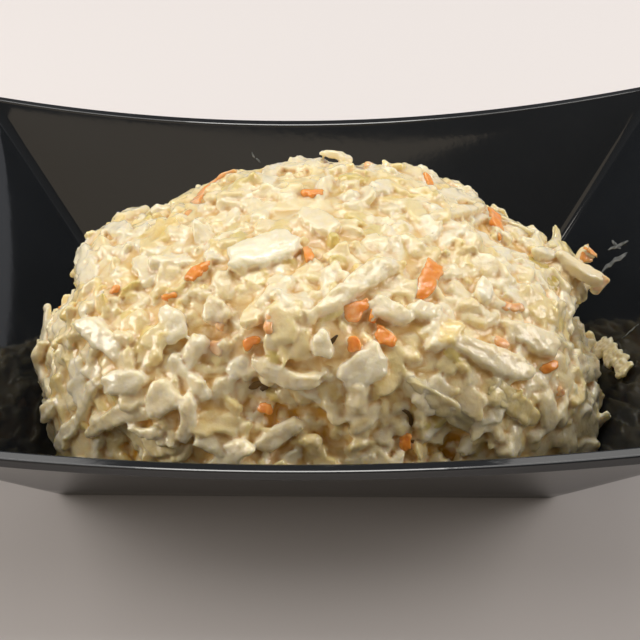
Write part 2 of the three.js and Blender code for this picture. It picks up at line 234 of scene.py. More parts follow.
rows += [(1, far - lip_reach, rise) for far, rise in lip_edge(OUTER_EDGE_SLOPE)]
rows += [(1, wall_across - far, rise - LIP_FALL) for far, rise in lip_edge(INNER_EDGE_SLOPE)[::-1]]
rows += [(1, wall_across + HOLD_INSIDE / 2 * lean_run, -LIP_ROUNDING - HOLD_INSIDE)]
rows += [(share, wall_across, 0) for share in wall_shares[::-1]]
rows += [(LOWEST_INNER_LINE, wall_across, 0)]
upright = math.pi / 2 - lean
for share in np.linspace(0, 1, FILLET_LINES):
    turned = share * upright
    along = FLOOR_FILLET * (1 - math.sin(turned + lean)) / math.cos(lean)
    rise = WALL + FLOOR_FILLET * (1 - math.cos(upright - turned))
    rows.append((0, floor_inset + FLOOR_FILLET - along, rise))
rows += [(0, floor_inset + FLOOR_FILLET + HOLD_ON_FLOOR, WALL), (0, floor_inset + FLOOR_INSET, WALL)]
dish_points = np.vstack([[[0, 0, 0]], *[dish_line(*row) for row in rows], [[0, 0, WALL]]])
dish = mesh_object("dish_moulding", dish_points, ring_triangles(len(rows) + 2, len(dish_sides)))


def linear(code):
    """A linear colour from sRGB hex."""
    channels = [int(code[i:i + 2], 16) / 255 for i in (1, 3, 5)]
    return (*[c / 12.92 if c <= 0.04045 else ((c + 0.055) / 1.055) ** 2.4 for c in channels], 1.0)


def add_node(material, kind, links=None, **settings):
    """Adds a node, sets its sockets and properties by name, and links sockets to other nodes' outputs."""
    node = material.node_tree.nodes.new("ShaderNode" + kind)
    for name, value in settings.items():
        if hasattr(node, name):
            setattr(node, name, value)
        else:
            node.inputs[name.replace("_", " ")].default_value = value
    for name, source in (links or {}).items():
        material.node_tree.links.new(source, node.inputs[name])
    return node


def new_material(name):
    material = bpy.data.materials.new(name)
    material.use_nodes = True
    material.node_tree.nodes.clear()
    return material


# Polished black polystyrene: deep black with clear soft-edged reflections, and a faint
# unevenness in its gloss where it has been handled.
HANDLED_PATCH = 35.7
RIPPLE_WIDTH = 2.38
RIPPLE_HEIGHT = 0.2
polystyrene = new_material("polished_black_polystyrene")
place = add_node(polystyrene, "TexCoord").outputs["Object"]
handling = add_node(
    polystyrene, "TexNoise", {"Vector": place},
    Scale=1 / (HANDLED_PATCH * MM), Detail=5.0, Roughness=0.6,
)
gloss = add_node(
    polystyrene, "MapRange", {"Value": handling.outputs["Fac"]},
    From_Min=0.3, From_Max=0.7, To_Min=0.04, To_Max=0.1,
)
ripple = add_node(polystyrene, "TexNoise", {"Vector": place}, Scale=1 / (RIPPLE_WIDTH * MM), Detail=3.0)
skin = add_node(
    polystyrene, "Bump", {"Height": ripple.outputs["Fac"]}, Strength=0.05, Distance=RIPPLE_HEIGHT * MM,
)
shade = add_node(polystyrene, "Mix", {"Factor": handling.outputs["Fac"]}, data_type="RGBA")
shade.inputs["A"].default_value = linear("#15171a")
shade.inputs["B"].default_value = linear("#202327")
plastic = add_node(
    polystyrene, "BsdfPrincipled",
    {
        "Base Color": shade.outputs["Result"], "Roughness": gloss.outputs["Result"],
        "Normal": skin.outputs["Normal"],
    },
    IOR=1.57,
)
add_node(polystyrene, "OutputMaterial", {"Surface": plastic.outputs["BSDF"]})
dish.data.materials.append(polystyrene)
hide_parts("dish")
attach(dish, "root")

# ---- Heap's form ----
# The whole heap is a dome with its crown off centre, broad and flat on top, with lumps and
# hollows in it: places, radii and depths, below 0 where it stands out. Everything below is
# placed on this form and kept off the dish's walls.
HEAP_MIDDLE = np.array([1.8, -9.2])
HEAP_LEFT = 68.8
HEAP_RIGHT = 72.5
HEAP_FRONT = 58.6
HEAP_BACK = 55.0
HEAP_HEIGHT = 59.9
SHOULDER_FRONT = 3.4
SHOULDER_BACK = 2.6
FLANK = 2.27
LUMP_SIZE = 5.5
LUMP_DEPTH = 1.1
LUMP_START = (1.3, 0.4)
LOWEST_FALL = 1.5
CLEARANCE = 0.3
HEAP_TOP = 63.9
HOLLOWS = [
    ((-36, 1, 57), 11, 2.5),
    ((47, -6, 56), 11, 3),
    ((69, -8, 31), 9, 5),
    ((-53, -21, 44), 6, 3),
    ((34, -56, 33), 8, 3),
    ((-6, -54, 48), 6, 3),
    ((50, 14, 50), 11, 3),
    ((-44, 22, 46), 14, 3),
    ((-64, 0, 36), 9, 2.5),
    ((70, 4, 26), 9, 3),
    ((3, -60, 39), 13, 3.5),
    ((22, -60, 39), 12, 3),
    ((-12, -60, 41), 9, 2),
    ((71, -7, 23), 8, 3),
    ((-56, -10, 41), 6, 2.5),
    ((-62, -29, 20), 8, 2.5),
    ((-34, 12, 54), 9, 2.5),
    ((24, 20, 55), 11, -1.8),
    ((64, -4, 41), 8, -4.5),
    ((-50, -2, 48), 8, -1.5),
    ((68, -31, 15), 9, -4),
    ((67, -20, 34), 8, 8),
    ((72, -22, 22), 9, 3),
    ((-60, -5, 35), 6, 2),
    ((-6, 19, 59), 9, 1),
    ((19, 21, 58), 8, 1),
    ((-39, -52, 25), 6, 6),
    ((-20, -61, 33), 5, 4),
    ((36, -54, 28), 6, 6),
]


def unit(vectors):
    return vectors / np.linalg.norm(vectors, axis=-1, keepdims=True)


def dome(fall, turn, inset=0.0):
    """Points of the heap's dome: fall is 0 at the crown and a quarter turn at the foot."""
    across = np.where(np.cos(turn) > 0, HEAP_RIGHT, HEAP_LEFT) - inset
    along = np.where(np.sin(turn) > 0, HEAP_BACK, HEAP_FRONT) - inset
    shoulder = SHOULDER_FRONT + (SHOULDER_BACK - SHOULDER_FRONT) * np.maximum(np.sin(turn), 0)
    spread = np.sin(fall) ** (2 / shoulder)
    lift = np.maximum(np.cos(fall), 0) ** (2 / FLANK)
    return np.stack([
        HEAP_MIDDLE[0] + across * spread * np.cos(turn),
        HEAP_MIDDLE[1] + along * spread * np.sin(turn),
        WALL + (HEAP_HEIGHT - inset) * lift,
    ], -1)


def dome_outward(fall, turn):
    """The way out of the heap, as long as the dome's area for each unit of fall and turn."""
    step = np.minimum(0.02, fall / 2)
    down = (dome(fall + step, turn) - dome(fall - step, turn)) / (2 * step)[..., None]
    round_it = (dome(fall, turn + step) - dome(fall, turn - step)) / (2 * step)[..., None]
    return np.cross(down, round_it)


def sag(points):
    """How far the heap's surface lies below the dome."""
    x, y, z = np.moveaxis(points, -1, 0)
    lumps = np.sin(x / LUMP_SIZE + LUMP_START[0]) * np.sin(y / LUMP_SIZE + LUMP_START[1])
    depth = LUMP_DEPTH * (lumps + np.sin(z / LUMP_SIZE + x / (2 * LUMP_SIZE)))
    for middle, radius, deep in HOLLOWS:
        far = np.linalg.norm(points - np.array(middle), axis=-1) / radius
        depth = depth + deep * np.exp(-far * far)
    return depth


def dome_inside(points):
    """Above 0 within the dome, 0 on it and below 0 outside."""
    x, y, z = np.moveaxis(points, -1, 0)
    right = (x - HEAP_MIDDLE[0]) / np.where(x > HEAP_MIDDLE[0], HEAP_RIGHT, HEAP_LEFT)
    back = (y - HEAP_MIDDLE[1]) / np.where(y > HEAP_MIDDLE[1], HEAP_BACK, HEAP_FRONT)
    spread = np.maximum(np.hypot(right, back), 1e-6)
    shoulder = SHOULDER_FRONT + (SHOULDER_BACK - SHOULDER_FRONT) * np.maximum(back / spread, 0)
    return 1 - spread ** shoulder - (np.maximum(z - WALL, 0) / HEAP_HEIGHT) ** FLANK


def buried(points):
    """Depth of points below the heap's surface, negative above it."""
    points = np.asarray(points, float)
    reach = 0.3
    steps = np.eye(3) * reach
    slopes = [(dome_inside(points + step) - dome_inside(points - step)) / (2 * reach) for step in steps]
    steepness = np.sqrt(sum(slope ** 2 for slope in slopes))
    return dome_inside(points) / np.maximum(steepness, 1e-4) - sag(points)


mark_fall, mark_turn = np.meshgrid(
    np.linspace(0.05, LOWEST_FALL, 50), np.linspace(0, 2 * math.pi, 120),
)
heap_marks = dome(mark_fall, mark_turn)
heap_marks = heap_marks - unit(dome_outward(mark_fall, mark_turn)) * sag(heap_marks)[..., None]
heap_marks = heap_marks.reshape(-1, 3)

# How far from the camera a line of sight is followed, by what steps, to meet the heap
SIGHT_NEAREST = 190
SIGHT_FARTHEST = 370
SIGHT_STEP = 0.1


def on_heap(across, down, lift=0.0):
    """Where a line of sight first comes within a lift of the heap's surface, and the way out there."""
    ray = sight(across, down)
    line = camera_place + ray * np.arange(SIGHT_NEAREST, SIGHT_FARTHEST, SIGHT_STEP)[:, None]
    met = np.nonzero(buried(line) > -lift)[0]
    if len(met):
        point = line[met[0]]
    else:
        coarse = line[::10]
        gaps = np.linalg.norm(coarse[:, None] - heap_marks[None], axis=2).min(1)
        point = coarse[gaps.argmin()]
    step = np.eye(3) * 0.5
    gradient = np.array([buried(point - move) - buried(point + move) for move in step])
    return point, unit(gradient)


def keep_in_dish(points, gap=CLEARANCE):
    """Presses points that reach the dish's plastic, or above the heap's top, back to a gap from it."""
    x, y, z = np.moveaxis(np.array(points, float), -1, 0)
    z = np.clip(z, WALL + gap, HEAP_TOP)
    inset = wall_across + gap / math.cos(lean)
    up = z / mean_height
    for _ in range(3):
        v = np.clip(y / (BASE_HALF[1] + flare[1] * up), -1, 1)
        half_x = BASE_HALF[0] + flare[0] * z / rim_height(1, v) - inset
        u = np.clip(x / half_x, -1, 1)
        up = z / rim_height(u, 1)
    half_y = BASE_HALF[1] + flare[1] * up - inset
    return np.stack([np.clip(x, -half_x, half_x), np.clip(y, -half_y, half_y), z], -1)


# ---- Grated carrot ----
# Short shreds of raw carrot off a coarse grater, wedge-shaped and rough-edged. They are stirred
# into the heap, and the dressing pales them where it covers them.

# Lines of sight along the shreds that show, with their width, thickness and lift off the heap
CARROT_CUTS = [
    ([(188, 215), (203, 196), (222, 177), (241, 169)], 2.9, 2.2, 0.8),
    ([(189, 284), (199, 271), (211, 261)], 2.6, 2.0, 1.2),
    ([(306, 245), (309, 255), (311, 265)], 2.2, 2.0, 1.2),
    ([(437, 262), (428, 281), (419, 301)], 4.2, 2.4, 1.0),
    ([(491, 213), (497, 226), (502, 241)], 3.0, 2.2, 1.0),
    ([(577, 262), (585, 256), (595, 249)], 3.6, 2.4, 1.0),
    ([(591, 293), (599, 285), (606, 277)], 3.2, 2.4, 1.0),
    ([(366, 167), (371, 165), (377, 167)], 1.8, 1.6, 0.6),
    ([(351, 336), (355, 345), (354, 354)], 3.0, 2.4, 1.2),
    ([(369, 315), (373, 316), (378, 317)], 2.6, 2.2, 1.4),
    ([(345, 320), (357, 309), (372, 302)], 3.2, 2.2, 0.9),
    ([(374, 334), (386, 338), (396, 346)], 3.2, 2.2, 0.8),
    ([(273, 308), (270, 322), (270, 336)], 1.9, 1.8, 1.3),
    ([(217, 331), (220, 327), (224, 322)], 2.0, 1.8, 1.2),
    ([(243, 348), (252, 341), (262, 339)], 1.9, 1.8, 1.2),
    ([(257, 404), (264, 408), (273, 406)], 2.2, 1.8, 1.0),
    ([(493, 338), (500, 345), (505, 351)], 2.8, 2.2, 1.2),
    ([(539, 371), (548, 367), (557, 362)], 2.2, 2.0, 1.0),
    ([(498, 305), (510, 308), (525, 308)], 2.0, 1.8, 0.8),
    ([(405, 431), (404, 441), (407, 451)], 2.6, 2.0, 0.8),
    ([(162, 300), (170, 296), (177, 291)], 2.0, 1.8, 1.2),
    ([(206, 342), (215, 347), (225, 350)], 2.8, 2.0, 0.6),
    ([(304, 189), (315, 195), (326, 193)], 3.0, 2.0, 0.5),
    ([(108, 293), (114, 291), (118, 286)], 1.6, 1.6, 1.0),
    ([(555, 389), (560, 392), (563, 397)], 1.8, 1.6, 0.8),
    ([(424, 176), (428, 181), (431, 186)], 2.2, 1.8, 0.6),
]
CARROT_BROADER = 1.15
CARROT_LOWER = 0.6
SHREDS = 36
SHRED_SIZE = [(6, 12), (2, 2.8), (1.6, 2.2)]
SHRED_SPACING = 12
TURNED_AWAY = 0.1
COLUMNS = 18
CORNER_SHIFT = 0.28
ANY_PHASE = (0, 6.3)
DEEPEST_LEAN = 0.6
FEWEST_POINTS = 60
WAVES = 28
MOST_LOOSE_TRIANGLES = 100000
dice = np.random.default_rng(417)

SLAB_ACROSS = np.array([0, 0.68, 0.92, 1, 1, 0.92, 0.68, 0])
SLAB_LEVEL = np.array([-1, -0.98, -0.82, -0.4, 0.4, 0.82, 0.98, 1])


def chopped(count, length, width, thickness, crisp=7, wave=0.12, ragged=0.06):
    """Pieces cut by a knife: a many-cornered outline with softened, ragged edges, slightly bowed and
    twisted. Each lies flat at the origin with its length along X. Returns points by piece."""
    long, wide, thick = [dice.uniform(*size, (count, 1, 1)) / 2 for size in (length, width, thickness)]
    turn = np.arange(COLUMNS) / COLUMNS * 2 * math.pi
    corner = np.array([0, 1, 2, 3, 0.5, 1.5, 2.5, 3.5]) * math.pi / 2
    cut_turn = corner + dice.uniform(-CORNER_SHIFT, CORNER_SHIFT, (count, len(corner)))
    cut_far = np.hstack([dice.uniform(0.85, 1.0, (count, 4)), dice.uniform(1.0, 1.5, (count, 4))])
    facing = np.maximum(np.cos(turn[None, :, None] - cut_turn[:, None, :]), 0) / cut_far[:, None, :]
    reach = (facing ** crisp).sum(2) ** (-1 / crisp)
    tear = dice.uniform(*ANY_PHASE, (2, count, 1))
    reach = reach * (1 + ragged * (np.sin(5 * turn + tear[0]) + np.sin(7 * turn + tear[1])))
    outline_x = reach * np.cos(turn)
    outline_y = reach * np.sin(turn)
    outline_x /= np.abs(outline_x).max(1, keepdims=True)
    outline_y /= np.abs(outline_y).max(1, keepdims=True)
    x = long * outline_x[:, None, :] * SLAB_ACROSS[None, 1:-1, None]
    y = wide * outline_y[:, None, :] * SLAB_ACROSS[None, 1:-1, None]
    z = thick * np.broadcast_to(SLAB_LEVEL[None, 1:-1, None], x.shape)
    ends = np.zeros((count, 1))
    x = np.hstack([ends, x.reshape(count, -1), ends])
    y = np.hstack([ends, y.reshape(count, -1), ends])
    z = np.hstack([-thick[:, :, 0], z.reshape(count, -1), thick[:, :, 0]])
    bow, lift, twist = dice.normal(0, 1, (3, count, 1)) * wave
    long, wide = long[:, :, 0], wide[:, :, 0]
    phase = dice.uniform(*ANY_PHASE, (2, count, 1))
    z = z * (1 + 0.15 * np.sin(x * 1.1 + phase[0]) * np.cos(y * 1.3 + phase[1]))
    z = z + lift * (x * x / long) + twist * x * y / long
    y = y + bow * (x * x / long)
    return np.stack([x, y, z], -1)


def spots(count, spacing=0.0):
    """Places over the dome, each as likely as its area, and no two nearer than the spacing."""
    fall = dice.uniform(0.03, LOWEST_FALL, count * 30)
    turn = dice.uniform(0, 2 * math.pi, count * 30)
    outward = dome_outward(fall, turn)
    area = np.linalg.norm(outward, axis=1)
    order = dice.choice(len(fall), len(fall) // 2, replace=False, p=area / area.sum())
    points = dome(fall, turn)
    if not spacing:
        kept = order[:count]
    else:
        kept = []
        for candidate in order:
            gaps = np.linalg.norm(points[kept] - points[candidate], axis=1)
            if not kept or gaps.min() > spacing:
                kept.append(candidate)
            if len(kept) == count:
                break
        kept = np.array(kept)
    facing = unit(outward[kept])
    middles = points[kept]
    return middles - facing * sag(middles)[:, None], facing


def far_spots(count, spacing):
    """Places on the side of the heap that is turned away from the camera."""
    middles, facing = spots(count, spacing)
    away = facing @ camera_back < TURNED_AWAY
    return middles[away], facing[away]


def laid(pieces, middles, facing, tilt):
    """Turns pieces any way in the surface, tilted by a typical angle, and moves them to their middles."""
    count = len(pieces)
    facing = unit(facing + dice.normal(0, tilt, (count, 3)))
    lengthwise = dice.normal(0, 1, (count, 3))
    lengthwise = unit(lengthwise - facing * (lengthwise * facing).sum(1, keepdims=True))
    basis = np.stack([lengthwise, np.cross(facing, lengthwise), facing], 1)
    return np.einsum("nvi,nij->nvj", pieces, basis) + middles[:, None, :]


def scattered(places, size, sunk, tilt, crisp, wave):
    """New pieces of a size, laid at their places and sunk in by a little more or less."""
    middles, facing = places
    pieces = chopped(len(middles), *size, crisp=crisp, wave=wave)
    depth = dice.uniform(*sunk, (len(middles), 1))
    return laid(pieces, middles - facing * depth, facing, tilt)


def gathered(groups):
    """Points and faces of many pieces as one mesh."""
    pieces = np.concatenate(groups)
    triangles = ring_triangles(len(SLAB_ACROSS), COLUMNS)
    starts = np.arange(len(pieces))[:, None, None] * pieces.shape[1]
    return pieces.reshape(-1, 3), (triangles[None] + starts).reshape(-1, 3)


def threaded(sights, width, thickness, lift, crisp=7, taper=0.3, ragged=0.04):
    """A piece bent along lines of sight that meet the heap, at a lift above it."""
    met = [on_heap(*seen, lift) for seen in sights]
    stops = np.array([point for point, _ in met])
    outward = unit(sum(way for _, way in met))
    depth = (stops - camera_place) @ -camera_back
    level = np.array([sight(*seen) for seen in sights])
    spread = np.linalg.norm(stops[0] - stops[-1] + camera_back * (depth[0] - depth[-1]))
    most = DEEPEST_LEAN * spread
    depth = depth.mean() + np.clip(depth - depth.mean(), -most, most)
    stops = camera_place + level * (depth / (level @ -camera_back))[:, None]
    gone = np.concatenate([[0], np.cumsum(np.linalg.norm(np.diff(stops, axis=0), axis=1))])
    length = gone[-1]
    curves = [np.polyfit(gone / length - 0.5, stops[:, axis], len(sights) - 1) for axis in range(3)]
    size = [(length, length), (width, width), (thickness, thickness)]
    piece = chopped(1, *size, crisp=crisp, wave=0.04, ragged=ragged)[0]
    share = piece[:, 0] / length
    piece[:, 1:] *= 1 + 2 * share[:, None] * dice.uniform(-taper, taper, 2)
    middle = np.stack([np.polyval(curve, share) for curve in curves], -1)
    tangent = unit(np.stack([np.polyval(np.polyder(curve), share) for curve in curves], -1))
    side = unit(np.cross(outward, tangent))
    return (middle + side * piece[:, 1:2] + np.cross(tangent, side) * piece[:, 2:3])[None]


def shown_pieces(cuts, lower=0.0, broader=1.0, **shape):
    """The threaded pieces of a list, each set lower and made broader than the list says."""
    return [
        threaded(places, broader * width, thickness, lift - lower, **shape)
        for places, width, thickness, lift in cuts
    ]


def apart(middles, facing, kept_clear, berth):
    """Only the places that are at least a berth away from the middles of the threaded pieces."""
    gaps = np.linalg.norm(middles[:, None] - kept_clear[None], axis=2).min(1)
    return middles[gaps > berth], facing[gaps > berth]


def loose_pieces(name, groups, tints):
    """Pieces as one mesh, with their tints and depths."""
    points, faces = gathered(groups)
    points = keep_in_dish(points)
    each = len(points) // len(tints)
    return mesh_object(name, points, faces, tint=np.repeat(tints, each), buried=buried(points))


def edge_ends(mesh):
    """The numbers of the points at the two ends of every edge."""
    ends = np.empty(len(mesh.edges) * 2, np.int32)
    mesh.edges.foreach_get("vertices", ends)
    return ends.reshape(-1, 2).T


def drop_specks(mesh):
    """Takes out islands of very few points, which a thin piece's tip can leave behind."""
    one, other = edge_ends(mesh)
    island = np.arange(len(mesh.vertices))
    while (island[one] != island[other]).any():
        lowest = np.minimum(island[one], island[other])
        np.minimum.at(island, island[one], lowest)
        np.minimum.at(island, island[other], lowest)
        np.minimum.at(island, one, lowest)
        np.minimum.at(island, other, lowest)
        island = island[island]
    small = np.nonzero(np.bincount(island, minlength=len(island))[island] < FEWEST_POINTS)[0]
    if len(small):
        body = bmesh.new()
        body.from_mesh(mesh)
        body.verts.ensure_lookup_table()
        bmesh.ops.delete(body, geom=[body.verts[index] for index in small], context="VERTS")
        body.to_mesh(mesh)
        body.free()


def fused(thing, voxel, smoothing, most_triangles):
    """Joins overlapping bodies into one skin, rounds it as a coat of dressing does, and thins its faces."""
    mesh = thing.data
    mesh.remesh_voxel_size = voxel * MM
    mesh.use_remesh_preserve_attributes = True
    mesh.use_remesh_preserve_volume = False
    bpy.context.view_layer.objects.active = thing
    bpy.ops.object.voxel_remesh()
    soften = thing.modifiers.new("soften", "SMOOTH")
    soften.factor = 0.5
    soften.iterations = smoothing
    thin = thing.modifiers.new("thin", "DECIMATE")
    thin.ratio = min(1.0, most_triangles / (2 * len(mesh.polygons)))
    thin.use_collapse_triangulate = True
    bpy.context.view_layer.update()
    graph = bpy.context.evaluated_depsgraph_get()
    made = bpy.data.meshes.new_from_object(
        thing.evaluated_get(graph), preserve_all_data_layers=True, depsgraph=graph,
    )
    thing.modifiers.clear()
    thing.data = made
    bpy.data.meshes.remove(mesh)
    made.name = thing.name
    drop_specks(made)
    made.shade_smooth()


def point_vectors(thing, kind):
    """A vector for every point: its place, or the way its surface faces."""
    vectors = np.empty(len(thing.data.vertices) * 3, np.float32)
    thing.data.vertices.foreach_get(kind, vectors)
    return vectors.reshape(-1, 3)


def mesh_points(thing):
    return point_vectors(thing, "co").astype(float) / MM


def set_values(thing, name, values):
    attributes = thing.data.attributes
    found = attributes.get(name) or attributes.new(name, "FLOAT", "POINT")
    found.data.foreach_set("value", np.asarray(values, np.float32))


def wrinkle(thing, width, height):
    """Moves each point in or out by an even random field whose wrinkles are about a width across."""
    points = mesh_points(thing)
    ways = unit(dice.normal(0, 1, (WAVES, 3))) * 2 * math.pi
    ways = ways / (width * dice.uniform(0.8, 1.7, (WAVES, 1)))
    field = np.sin(points @ ways.T + dice.uniform(*ANY_PHASE, WAVES)).sum(1) / math.sqrt(WAVES / 2)
    moved = points + point_vectors(thing, "normal") * (height * (np.abs(field) - 0.8))[:, None]
    thing.data.vertices.foreach_set("co", (keep_in_dish(moved) * MM).astype(np.float32).ravel())
    thing.data.update()


def put(thing, material, node):
    """Gives a piece its material and its place in the frame, and hides the node it stands for."""
    thing.data.materials.clear()
    thing.data.materials.append(material)
    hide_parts(node)
    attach(thing, "root")


# The dressing's patterns: their widths, the relief of its curds and how far light goes into it
MOTTLE_WIDTH = 3
WET_PATCH = 2.2
CURD_WIDTH = 1.1
CURD_HEIGHT = 0.35
GLOW_DEPTH = 1.4
# Depths between which painted shade darkens a gap: below the heap's form, and below the surface around a
# point
PAINTED_SHADE_DEPTHS = (1.2, 4.0)
PAINTED_SHADE_HOLLOW_DEPTHS = (0.1, 0.7)


def dressed(name, light, dark, deep, gloss_low, gloss_high, glow, patchiness=1.0, stains=None):
    """Wet food under a thin coat of mayonnaise. Light and dark are the two ends of its own colour, by
    its tint, deep is painted shade that the gaps between pieces turn to, and stains are colours by
    attribute."""
    material = new_material(name)
    place = add_node(material, "TexCoord").outputs["Object"]
    tint = add_node(material, "Attribute", attribute_name="tint").outputs["Fac"]
    under = add_node(material, "Attribute", attribute_name="buried").outputs["Fac"]
    hollow = add_node(material, "Attribute", attribute_name="hollow").outputs["Fac"]
    mottle = add_node(
        material, "TexNoise", {"Vector": place}, Scale=1 / (MOTTLE_WIDTH * MM), Detail=4.0, Roughness=0.6,
    )
    patch = add_node(material, "Math", {0: tint, 1: mottle.outputs["Fac"]}, operation="ADD")
    half = 0.55 / patchiness
    share = add_node(
        material, "MapRange", {"Value": patch.outputs[0]}, From_Min=1 - half, From_Max=1 + half,
    )
    own = add_node(material, "Mix", {"Factor": share.outputs["Result"]}, data_type="RGBA")
    own.inputs["A"].default_value = light
    own.inputs["B"].default_value = dark
    for stain, colour in (stains or {}).items():
        stained = add_node(material, "Attribute", attribute_name=stain).outputs["Fac"]
        own = add_node(material, "Mix", {"Factor": stained, "A": own.outputs["Result"]}, data_type="RGBA")
        own.inputs["B"].default_value = colour
    # Painted shade: the colour turns to deep where a point lies below the heap's form or below the surface
    # around it
    painted_shade_by_depth = add_node(
        material, "MapRange", {"Value": under}, From_Min=PAINTED_SHADE_DEPTHS[0], From_Max=PAINTED_SHADE_DEPTHS[1], To_Max=0.9,
    )
    painted_shade_by_hollow = add_node(
        material, "MapRange", {"Value": hollow},
        From_Min=PAINTED_SHADE_HOLLOW_DEPTHS[0], From_Max=PAINTED_SHADE_HOLLOW_DEPTHS[1], To_Max=0.75,
    )
    gap = add_node(
        material, "Math", {0: painted_shade_by_depth.outputs["Result"], 1: painted_shade_by_hollow.outputs["Result"]},
        operation="ADD", use_clamp=True,
    )
    seen = add_node(
        material, "Mix", {"Factor": gap.outputs[0], "A": own.outputs["Result"]}, data_type="RGBA",
    )
    seen.inputs["B"].default_value = deep
    wetness = add_node(material, "TexNoise", {"Vector": place}, Scale=1 / (WET_PATCH * MM), Detail=2.0)
    roughness = add_node(
        material, "MapRange", {"Value": wetness.outputs["Fac"]},
        From_Min=0.35, From_Max=0.65, To_Min=gloss_low, To_Max=gloss_high,
    )
    curds = add_node(
        material, "TexNoise", {"Vector": place}, Scale=1 / (CURD_WIDTH * MM), Detail=3.0, Roughness=0.5,
    )
    relief = add_node(
        material, "Bump", {"Height": curds.outputs["Fac"]}, Strength=0.5, Distance=CURD_HEIGHT * MM,
    )
    surface = add_node(
        material, "BsdfPrincipled",
        {
            "Base Color": seen.outputs["Result"], "Roughness": roughness.outputs["Result"],
            "Normal": relief.outputs["Normal"],
        },
        IOR=1.42, Subsurface_Weight=glow, Subsurface_Radius=(0.9, 0.85, 0.5),
        Subsurface_Scale=GLOW_DEPTH * MM, Coat_Weight=1.0, Coat_Roughness=0.08, Coat_IOR=1.45,
    )
    add_node(material, "OutputMaterial", {"Surface": surface.outputs["BSDF"]})
    return material


carrot_heroes = shown_pieces(CARROT_CUTS, CARROT_LOWER, CARROT_BROADER, crisp=14, taper=0.7, ragged=0.05)
carrot_middles = np.array([piece[0].mean(0) for piece in carrot_heroes])
far_places = far_spots(SHREDS, SHRED_SPACING)
shreds = scattered(far_places, SHRED_SIZE, sunk=(-0.2, 0.8), tilt=0.3, crisp=12, wave=0.12)
carrot_groups = [*carrot_heroes, shreds]
carrot_tints = dice.uniform(0, 0.75, sum(len(group) for group in carrot_groups))
carrot = loose_pieces("grated_carrot", carrot_groups, carrot_tints)
fused(carrot, 0.32, 0, MOST_LOOSE_TRIANGLES)
wrinkle(carrot, 3, 0.15)
# Its depth below the heap's surface, which sets the painted shade
set_values(carrot, "buried", buried(mesh_points(carrot)))

# Raw carrot under a thin coat of dressing: orange, paled in patches, and wet, with a painted shade of
# deeper orange where it lies deep in the heap.
carrot_flesh = dressed(
    "grated_carrot_under_dressing", linear("#f99c3e"), linear("#fbd8b0"), linear("#e8902a"),
    gloss_low=0.3, gloss_high=0.5, glow=0.85, patchiness=1.7,
)
put(carrot, carrot_flesh, "coleslaw")

# ---- Outer leaf ----
# Thin pieces of the cabbage's greener outer leaves, cupped and folded, with dressing on them. The
# greenest stay separate, and the paler ones are bound into the cabbage below.
LEAF_CUTS = [
    ([(530, 258), (545, 275), (556, 292)], 8.4, 1.6, -0.6),
    ([(400, 386), (435, 400), (462, 419), (480, 436)], 5.5, 1.6, 0.6),
    ([(490, 385), (512, 401), (536, 426)], 5.5, 1.5, 0.8),
    ([(498, 214), (518, 227), (550, 240)], 6.4, 1.6, 0.6),
    ([(549, 247), (557, 239), (557, 224)], 2.6, 1.4, 0.8),
    ([(146, 350), (157, 336), (169, 324)], 6.4, 1.4, 1.6),
    ([(274, 300), (279, 322), (290, 345)], 6.0, 1.6, 0.8),
    ([(224, 181), (245, 176), (264, 179)], 5.0, 1.5, 0.5),
    ([(412, 200), (416, 212), (422, 224)], 4.4, 1.4, 0.4),
    ([(168, 206), (184, 198), (204, 191)], 5.4, 2.0, 0.5),
    ([(440, 358), (446, 366), (452, 375)], 3.6, 1.4, 0.2),
]
LEAF_LOWER = 0.4
LEAVES = 40
LEAF_SIZE = [(6, 11), (4, 6), (1.1, 1.7)]
LEAF_SPACING = 9
GREENEST_TINTS = [0.9, 0.15, 0.4, 0.1, 0.2]
GREENEST = len(GREENEST_TINTS)

leaf_heroes = shown_pieces(LEAF_CUTS, LEAF_LOWER, crisp=12)
far_places = far_spots(LEAVES, LEAF_SPACING)
leaves = scattered(far_places, LEAF_SIZE, sunk=(0.4, 1.5), tilt=0.3, crisp=9, wave=0.3)
leaf_groups = [*leaf_heroes[:GREENEST], leaves]
leaf_tints = np.concatenate([GREENEST_TINTS, dice.uniform(0, 0.5, len(leaves))])
outer_leaf = loose_pieces("outer_leaf_pieces", leaf_groups, leaf_tints)
fused(outer_leaf, 0.36, 0, MOST_LOOSE_TRIANGLES)
wrinkle(outer_leaf, 4.5, 0.2)
# Its depth below the heap's surface, which sets the painted shade
set_values(outer_leaf, "buried", buried(mesh_points(outer_leaf)))

# Green leaf flesh seen through a thin coat of dressing: pale yellow-green, and wet, with a painted golden
# shade where it lies deep in the heap.
leaf_flesh = dressed(
    "outer_leaf_under_dressing", linear("#f8e9bf"), linear("#c3a83c"), linear("#c3973a"),
    gloss_low=0.25, gloss_high=0.45, glow=0.9,
)
put(outer_leaf, leaf_flesh, "coleslaw")

# ---- Chopped cabbage, bound together by the dressing ----
# White cabbage chopped into small blocks and stirred into mayonnaise, which fills the corners
# between them, so the mass of the heap is one soft, lumpy body round the carrot and leaf.

